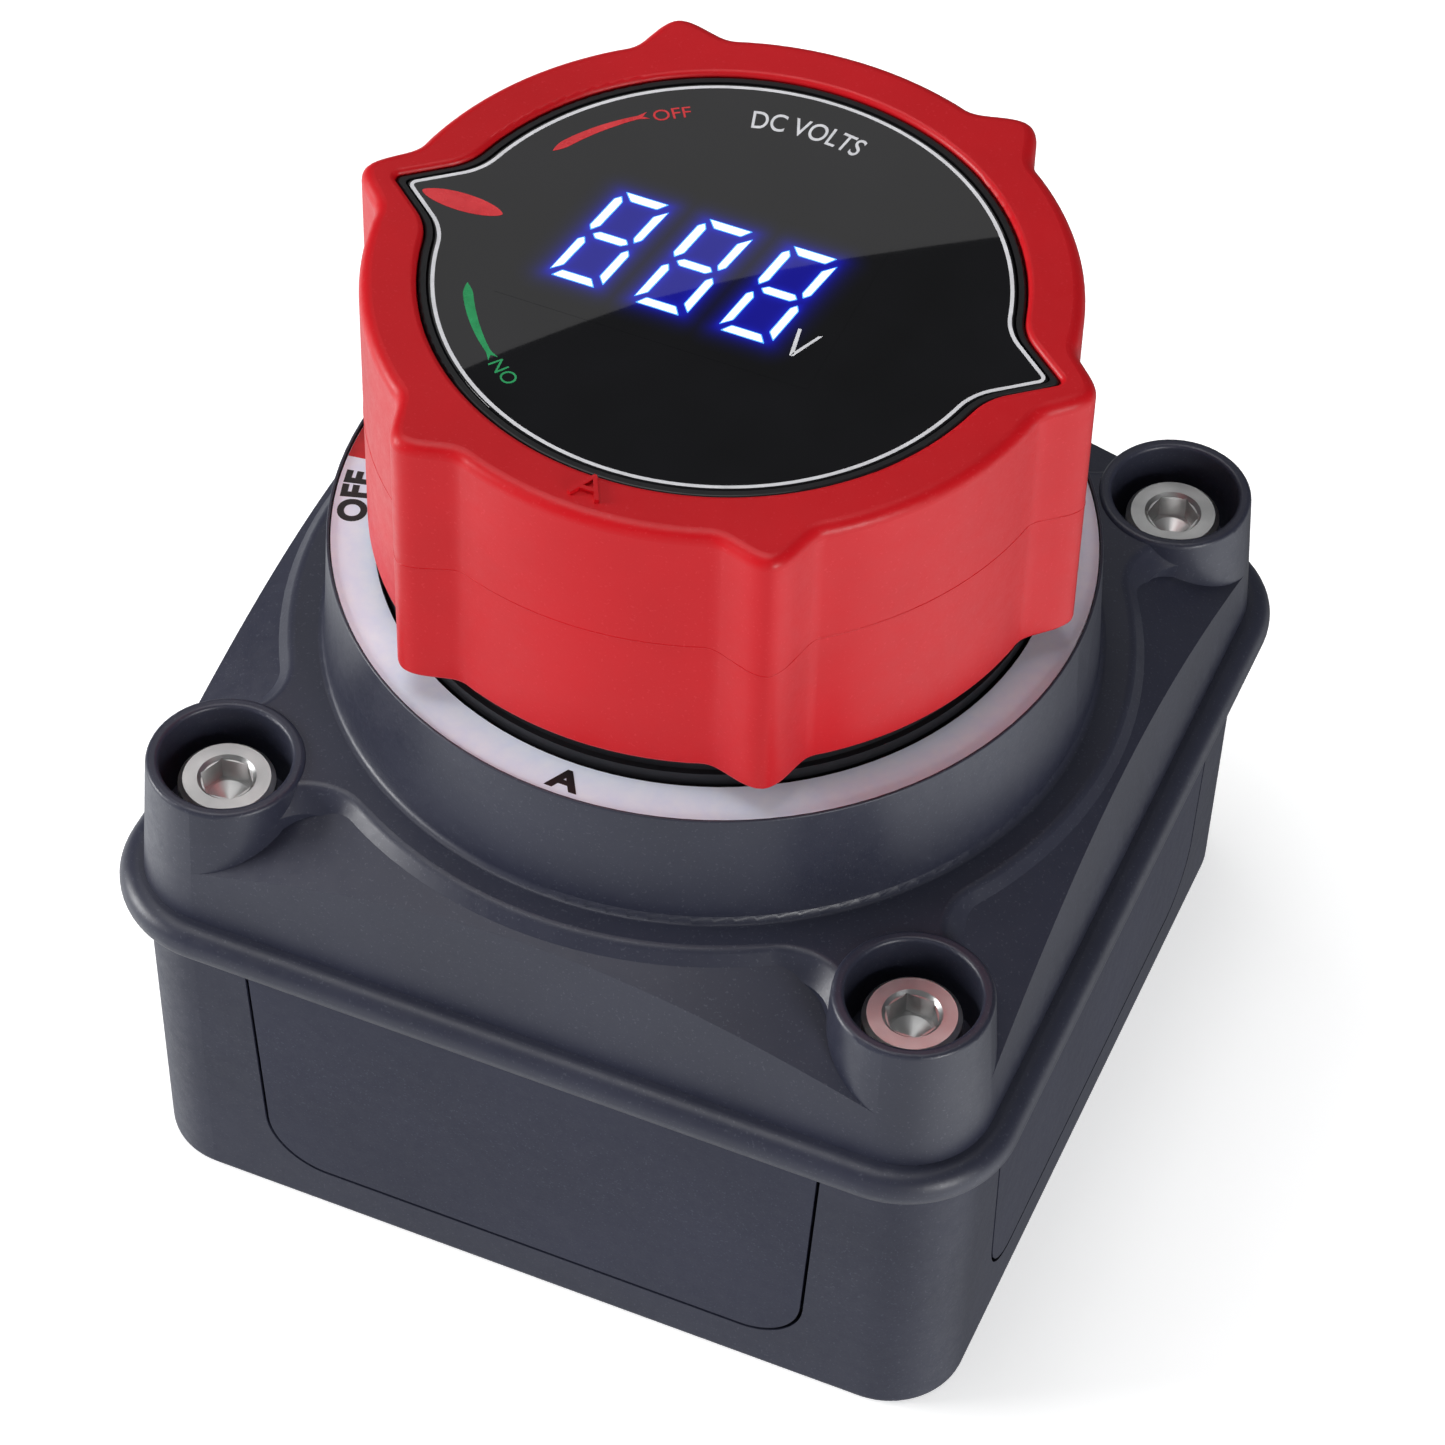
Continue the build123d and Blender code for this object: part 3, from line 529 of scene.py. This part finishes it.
NODE_MATERIAL = {
    "base_frame": "base", "top_cover": "housing",
    "side_plate_front": "plate", "side_plate_right": "plate", "side_plate_rear": "plate", "side_plate_left": "plate",
    "cover_gasket": "rubber", "label_ring": "label", "contact_block": "insulator", "block_screws": "screw_steel",
    "stud_battery": "copper", "stud_load": "copper", "stud_flat_washers": "stud_steel", "stud_lock_washers": "stud_steel", "stud_nuts": "stud_steel",
    "slip_ring_inner": "copper_axis", "slip_ring_outer": "copper_axis", "case_screws": "stainless", "case_nuts": "stainless", "mounting_inserts": "brass",
    "drive_shaft": "insulator", "shaft_seal": "rubber", "wave_washer": "spring_steel", "rotor_carrier": "insulator",
    "contact_bridge": "copper_axis", "bridge_contact_tips": "copper", "contact_spring": "spring_steel", "retaining_clip": "spring_steel",
    "knob_grip": "grip_red", "knob_core": "core_black", "core_screws": "spring_steel", "display_bezel": "bezel", "display_lens": "lens",
    "lens_adhesive": "adhesive", "voltmeter_board": "pcb", "board_screws": "spring_steel", "led_module": "led", "pin_barrels": "brass",
    "pin_spring_inner": "spring_steel", "pin_spring_outer": "spring_steel", "contact_pin_inner": "brass", "contact_pin_outer": "brass",
}
for n, ob in NODES.items():
    mat = M[NODE_MATERIAL[n]]
    ob.data.materials.clear()
    ob.data.materials.append(mat)
    for p in ob.data.polygons:
        p.material_index = 0


# ================================================================ print on the lens
def piece(name, geo, mat, body, smooth=False):
    ob = mesh_object(name, geo[0], geo[1], M[mat], smooth)
    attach(ob, body)
    return ob


PZ0, PZ1 = LENS_Z + 0.004, LENS_Z + 0.016
line = lens_outline(19.62, 23.45, 4.6, 0.42)
piece("lens_border_line", ribbon(line, 0.27, PZ0, PZ1), "ink_white", "knob")

ell = []
for i in range(64):
    a = 2 * math.pi * i / 64
    c, s = math.cos(a), math.sin(a)
    ell.append((-19.28 + 3.02 * c, -0.3 + 0.86 * math.copysign(abs(s) ** 1.25, s) + 0.02 * c))
piece("lens_pointer", plates([ell], PZ0, PZ1), "ink_red", "knob")


def arc_arrow(a_point, a_tail, r, hw):
    """Slender arrow along the ring: drawn out to a point, notched like a feather at the tail."""
    n = 40
    outer, inner = [], []
    for i in range(n + 1):
        t = i / n
        a = math.radians(a_point + (a_tail - a_point) * t)
        if t < 0.16:
            w = hw * (0.06 + 0.94 * math.sin(0.5 * math.pi * t / 0.16))
        elif t < 0.9:
            w = hw * (1.0 - 0.52 * ((t - 0.16) / 0.74) ** 1.6)
        else:
            w = hw * (0.48 + 0.55 * (t - 0.9) / 0.1)
        outer.append(((r + w) * math.cos(a), (r + w) * math.sin(a)))
        inner.append(((r - w) * math.cos(a), (r - w) * math.sin(a)))
    an = math.radians(a_point + (a_tail - a_point) * 0.945)
    notch = [(r * math.cos(an), r * math.sin(an))]
    return outer + notch + inner[::-1]


piece("lens_arrow_off", plates([arc_arrow(156.0, 130.6, 17.3, 0.35)], PZ0, PZ1), "ink_red", "knob")
piece("lens_arrow_on", plates([arc_arrow(205.4, 230.8, 17.25, 0.35)], PZ0, PZ1), "ink_green", "knob")

fl, fc = ring_text("OFF", 1.16, 16.56, 129.6, bold=0.0, squeeze=1.0)
piece("lens_text_off", solid_from_flat(fl, fc, PZ0, PZ1), "ink_red", "knob")
fl, fc = ring_text("ON", 1.16, 16.7, 239.5, bold=0.0, squeeze=1.0)
piece("lens_text_on", solid_from_flat(fl, fc, PZ0, PZ1), "ink_green", "knob")
fl, fc = ring_text("DC VOLTS", 1.86, 15.55, 105.9, bold=0.05, squeeze=0.70, spacing=1.0)
piece("lens_text_dc", solid_from_flat(fl, fc, PZ0, PZ1), "ink_white", "knob")

# ---------------------------------------------------------------- lit digits
SLANT = 0.145
SEGS = [
    [(0.36, 9.5), (3.30, 9.5), (2.93, 8.84), (1.0, 8.84)],
    [(3.78, 8.75), (3.70, 5.55), (3.42, 5.15), (3.20, 5.5), (3.20, 8.0)],
    [(3.50, 4.15), (3.78, 3.75), (3.80, 0.55), (3.25, 1.15), (3.25, 3.8)],
    [(0.42, 0.0), (3.35, 0.0), (2.85, 0.62), (0.75, 0.62)],
    [(0.60, 4.80), (0.92, 4.48), (2.78, 4.48), (3.08, 4.78), (2.80, 5.10), (0.90, 5.10)],
    [(0.20, 8.95), (0.50, 8.5), (0.50, 5.75), (0.16, 5.20), (-0.08, 5.55), (-0.08, 8.6)],
    [(0.22, 4.20), (0.50, 3.75), (0.46, 1.20), (-0.04, 0.55), (-0.04, 3.9)],
]
DIGITS = [(2.15 - 12.6, -4.28), (2.15 - 6.3, -4.39), (2.15, -4.50)]


def place(pts, d):
    return [(x + d[0] + SLANT * (y + d[1]), y + d[1]) for x, y in pts]


def grown(pts, g):
    n = len(pts)
    area = sum(pts[i][0] * pts[(i + 1) % n][1] - pts[(i + 1) % n][0] * pts[i][1] for i in range(n))
    sgn = 1 if area > 0 else -1
    out = []
    for i in range(n):
        a, b, c = Vector(pts[i - 1]), Vector(pts[i]), Vector(pts[(i + 1) % n])
        t1, t2 = (b - a).normalized(), (c - b).normalized()
        n1, n2 = Vector((t1.y, -t1.x)) * sgn, Vector((t2.y, -t2.x)) * sgn
        m = (n1 + n2).normalized()
        k = g / max(0.45, m.dot(n1))
        out.append((b.x + m.x * k, b.y + m.y * k))
    return out


def rounded(pts, r=0.09, n=4):
    out = []
    m = len(pts)
    for i in range(m):
        a, b, c = Vector(pts[i - 1]), Vector(pts[i]), Vector(pts[(i + 1) % m])
        d1, d2 = (a - b), (c - b)
        s = min(r, d1.length * 0.4, d2.length * 0.4)
        p, q = b + d1.normalized() * s, b + d2.normalized() * s
        for k in range(n + 1):
            t = k / n
            v = p.lerp(b, t).lerp(b.lerp(q, t), t)
            out.append((v.x, v.y))
    return out


all_segs = [place(s, d) for d in DIGITS for s in SEGS]
piece("digit_rims", plates([rounded(grown(s, 0.075)) for s in all_segs], LENS_Z + 0.012, LENS_Z + 0.020), "seg_rim", "knob")
piece("digit_segments", plates([rounded(s) for s in all_segs], LENS_Z + 0.014, LENS_Z + 0.026), "seg_core", "knob")

# the "V" after the digits, two thin strokes
v_l = [(6.50, -2.28), (6.74, -2.24), (7.16, -4.62), (7.02, -4.92), (6.92, -4.86)]
v_r = [(8.02, -2.42), (8.30, -2.30), (7.20, -4.86), (7.02, -4.92), (7.06, -4.60)]
piece("lens_unit", plates([v_l, v_r], PZ0 + 0.008, PZ1 + 0.008), "ink_white", "knob")


def seg_distance(px, py, poly):
    inside, best = False, 1e9
    n = len(poly)
    for i in range(n):
        ax, ay = poly[i]
        bx, by = poly[(i + 1) % n]
        if (ay > py) != (by > py) and px < (bx - ax) * (py - ay) / (by - ay) + ax:
            inside = not inside
        dx, dy = bx - ax, by - ay
        t = max(0.0, min(1.0, ((px - ax) * dx + (py - ay) * dy) / (dx * dx + dy * dy)))
        best = min(best, math.hypot(px - ax - t * dx, py - ay - t * dy))
    return -best if inside else best


def glow_sheet():
    x0, x1, y0, y1, s = -13.6, 9.4, -7.4, 7.8, 0.16
    nx, ny = int((x1 - x0) / s) + 1, int((y1 - y0) / s) + 1
    boxes = [place([(-0.1, 0.1), (3.75, 0.1), (3.75, 9.4), (-0.1, 9.4)], d) for d in DIGITS]
    verts, cols = [], []
    for j in range(ny):
        for i in range(nx):
            x, y = x0 + i * s, y0 + j * s
            verts.append((x, y, LENS_Z + 0.010))
            db = min(seg_distance(x, y, b) for b in boxes)
            if db > 2.4:
                cols.append((0.0, 0.0, 0.0, 1.0))
                continue
            ds = min(seg_distance(x, y, q) for q in all_segs)
            fill = 1.0 if db < 0 else math.exp(-(db / 0.42) ** 1.15)
            near = math.exp(-(max(ds, 0.0) / 0.30) ** 1.3)
            far = math.exp(-(max(db, 0.0) / 0.85) ** 1.6) * 0.16
            edge = 1.0 - min(1.0, max(0.0, (db - 1.9) / 0.5))
            f = (0.24 * fill + 0.45 * near * max(fill, 0.35) + far) * edge
            cols.append((0.002 * f + 0.004 * near * fill, 0.001 * f + 0.010 * near * fill, 0.62 * f, 1.0))
    n0 = len(verts)
    verts += [(x, y, LENS_Z + 0.002) for x, y, z in verts]
    faces = []
    for j in range(ny - 1):
        for i in range(nx - 1):
            a = j * nx + i
            faces.append((a, a + 1, a + nx + 1, a + nx))
    rim = [i for i in range(nx)] + [j * nx + nx - 1 for j in range(1, ny)] + [(ny - 1) * nx + i for i in range(nx - 2, -1, -1)] + [j * nx for j in range(ny - 2, 0, -1)]
    m = len(rim)
    for k in range(m):
        a, b = rim[k], rim[(k + 1) % m]
        faces.append((a, n0 + a, n0 + b, b))
    faces.append(tuple(n0 + a for a in reversed(rim)))
    used = sorted(set(i for f in faces for i in f))
    remap = {v: i for i, v in enumerate(used)}
    verts2 = [verts[i] for i in used]
    faces2 = [tuple(remap[i] for i in f) for f in faces]
    ob = piece("digit_glow", (verts2, faces2), "lens_lit", "knob")
    at = ob.data.attributes.new("glow", "FLOAT_COLOR", "POINT")
    for i, v in enumerate(used):
        at.data[i].color = cols[v] if v < n0 else (0.0, 0.0, 0.0, 1.0)
    return ob


glow_sheet()

# ================================================================ print on the label ring
LZ0, LZ1 = LABEL_Z + 0.003, LABEL_Z + 0.016
fl, fc = ring_text("A", 1.75, 24.95, -90.0, bold=0.45, squeeze=1.22, outward=False, centre=True)
piece("label_index", solid_from_flat(fl, fc, LZ0, LZ1), "ink_black", "housing")
fl, fc = ring_text("OFF", 2.0, 24.98, 202.4, bold=0.46, squeeze=0.98, spacing=1.08)
piece("label_text_off", solid_from_flat(fl, fc, LZ0, LZ1), "ink_black", "housing")
fl, fc = ring_text("ON", 2.0, 24.98, 109.6, bold=0.46, squeeze=0.98, spacing=1.08)
piece("label_text_on", solid_from_flat(fl, fc, LZ0, LZ1), "ink_black", "housing")
piece("label_off_sector", plates([sector_outline(27.30, 24.26, 171.5, 188.5)], LZ0, LZ1), "ink_label_red", "housing")
piece("label_on_sector", plates([sector_outline(27.30, 24.26, 81.5, 98.5)], LZ0, LZ1), "ink_label_green", "housing")


# ================================================================ parting line round the grip
def lobe_radius(a):
    d = min(abs((a - k * 60.0 + 180) % 360 - 180) for k in range(6))
    h = max(0.0, 1 - d / LOBE_W)
    return KNOB_RV + (KNOB_RT - KNOB_RV) * h * h * (3 - 2 * h)


def parting_line():
    n = 720
    prof = [(-0.06, -0.10), (0.018, -0.05), (0.026, 0.0), (0.018, 0.05), (-0.06, 0.10)]
    verts, faces = [], []
    for i in range(n):
        a = i * 360.0 / n
        da = 0.25
        r = lobe_radius(a)
        dr = (lobe_radius(a + da) - lobe_radius(a - da)) / math.radians(2 * da)
        t = math.radians(a)
        er, et = Vector((math.cos(t), math.sin(t))), Vector((-math.sin(t), math.cos(t)))
        tan = (er * dr + et * r).normalized()
        nn = Vector((tan.y, -tan.x))
        z = 63.6 + 0.9 * math.sin(math.radians(a) + 2.2) - 0.5 * max(0.0, 1 - min(abs((a - k * 60.0 + 180) % 360 - 180) for k in range(6)) / 9.0)
        for dn, dz in prof:
            p = er * r + nn * dn
            verts.append((p.x, p.y, z + dz))
    m = len(prof)
    for i in range(n):
        j = (i + 1) % n
        for k in range(m):
            l = (k + 1) % m
            faces.append((i * m + k, j * m + k, j * m + l, i * m + l))
    return verts, faces


piece("grip_parting_line", parting_line(), "grip_red", "knob", smooth=True)

# ================================================================ stage, lights, camera
floor_m, nt, bs = new_mat("floor_pale")
v = coords(nt)
fn = noise(nt, v, 40.0, 4.0, 0.55)
nt.links.new(ramp(nt, fn, [(0.3, (0.86, 0.86, 0.86, 1)), (0.7, (0.89, 0.89, 0.89, 1))]), bs.inputs["Base Color"])
nt.links.new(maprange(nt, fn, 0.3, 0.7, 0.75, 0.85), bs.inputs["Roughness"])
bs.inputs["Specular IOR Level"].default_value = 0.2
bs.inputs["Emission Color"].default_value = (1.0, 1.0, 1.0, 1.0)
bs.inputs["Emission Strength"].default_value = 0.54
floor = mesh_object("floor", [(-3000, -3000, -0.02), (3000, -3000, -0.02), (3000, 3000, -0.02), (-3000, 3000, -0.02)], [(0, 1, 2, 3)], floor_m)
floor.visible_diffuse = False
floor.visible_glossy = False

world = bpy.data.worlds.new("studio")
bpy.context.scene.world = world
world.use_nodes = True
bg = world.node_tree.nodes["Background"]
bg.inputs[0].default_value = (0.96, 0.98, 1.0, 1.0)
# the lower half of the studio is the lit table: brighter to the left and right, darker at the back
wt = world.node_tree
wc = wt.nodes.new("ShaderNodeTexCoord")
ws = wt.nodes.new("ShaderNodeSeparateXYZ")
wt.links.new(wc.outputs["Generated"], ws.inputs[0])
side = maprange(wt, math_node(wt, "ABSOLUTE", ws.outputs[0]), 0.34, 0.70, 0.0, 0.85)
back = maprange(wt, ws.outputs[1], 0.0, 0.5, 0.0, 0.72)
level = math_node(wt, "SUBTRACT", math_node(wt, "ADD", side, 0.80), back)
below = maprange(wt, math_node(wt, "MULTIPLY", ws.outputs[2], -1.0), 0.0, 0.18, 0.0, 1.0)
wt.links.new(math_node(wt, "ADD", math_node(wt, "MULTIPLY", level, below), 0.12), bg.inputs[1])


def area(name, loc, target, size, watts, colour=(1, 1, 1), size_y=None, spread=None):
    li = bpy.data.lights.new(name, "AREA")
    li.shape = "RECTANGLE" if size_y else "SQUARE"
    li.size = size
    if size_y:
        li.size_y = size_y
    li.energy = watts
    li.color = colour
    if spread:
        li.spread = spread
    ob = link(bpy.data.objects.new(name, li))
    ob.location = loc
    ob.rotation_mode = "QUATERNION"
    ob.rotation_quaternion = (Vector(target) - Vector(loc)).to_track_quat("-Z", "Y")
    return ob


area("key_left", (-0.86, -0.30, 0.28), (0, 0, 0.045), 0.45, 8.8, size_y=0.4)
area("fill_right", (0.80, -0.52, 0.22), (0, 0, 0.045), 0.26, 5.4, size_y=0.34)
area("front_low", (0.10, -1.0, 0.30), (0, 0, 0.03), 0.5, 0.5, size_y=0.3)
area("top", (-0.25, 0.05, 1.10), (0, 0, 0.035), 0.8, 6.0)

# softbox that the lens mirrors: its near edge bounds the lighter part of the glass
CAM = Vector((97.3319, -240.5543, 319.4500))
MIRROR = Vector((CAM.x, CAM.y, 2 * LENS_Z - CAM.z))
EDGE = [(-22.0, -33.0), (-18.5, -26.0), (-15.6, -20.4), (-12.86, -15.95), (-10.4, -12.3), (-7.4, -8.3), (-4.21, -4.31), (-0.8, -1.0), (3.17, 2.5), (7.04, 5.56), (11.56, 8.93), (16.14, 12.23), (22.0, 16.0), (30.0, 20.5)]
K = 3.0
near = [(x + K * (x - MIRROR.x), y + K * (y - MIRROR.y)) for x, y in EDGE]
far = [(x - 300.0, y + 260.0) for x, y in near]
zp = LENS_Z + K * (LENS_Z - MIRROR.z)
verts = [(x, y, zp) for x, y in near] + [(x, y, zp) for x, y in far]
n = len(near)
panel_m = bpy.data.materials.new("softbox")
panel_m.use_nodes = True
pnt = panel_m.node_tree
for nd in list(pnt.nodes):
    pnt.nodes.remove(nd)
po = pnt.nodes.new("ShaderNodeOutputMaterial")
pe = pnt.nodes.new("ShaderNodeEmission")
pe.inputs["Strength"].default_value = 0.74
pnt.links.new(pe.outputs[0], po.inputs[0])
panel = mesh_object("softbox_panel", verts, [(i, i + 1, n + i + 1, n + i) for i in range(n - 1)], panel_m)
panel.visible_camera = False
panel.visible_shadow = False

cam_d = bpy.data.cameras.new("camera")
cam = link(bpy.data.objects.new("camera", cam_d))
az, el, roll = math.radians(21.7321), math.radians(48.1755), math.radians(1.9078)
back = Vector((math.sin(az) * math.cos(el), -math.cos(az) * math.cos(el), math.sin(el)))
T = Vector((3.0816, -4.0995, 35.0))
C = T + back * 381.7143
fw = -back
right = fw.cross(Vector((0, 0, 1))).normalized()
up = right.cross(fw)
R2 = math.cos(roll) * right + math.sin(roll) * up
U2 = -math.sin(roll) * right + math.cos(roll) * up
cam.matrix_world = Matrix(((R2.x, U2.x, -fw.x, C.x * MM), (R2.y, U2.y, -fw.y, C.y * MM), (R2.z, U2.z, -fw.z, C.z * MM), (0, 0, 0, 1)))
cam_d.sensor_width = 36.0
cam_d.lens = 5255.34 / 1445.0 * 36.0
cam_d.shift_x = -(727.724 - 722.5) / 1445.0
cam_d.shift_y = (723.426 - 722.5) / 1445.0
cam_d.clip_start, cam_d.clip_end = 0.01, 20.0
bpy.context.scene.camera = cam
bpy.context.scene.view_settings.view_transform = "Standard"
bpy.context.scene.view_settings.look = "None"
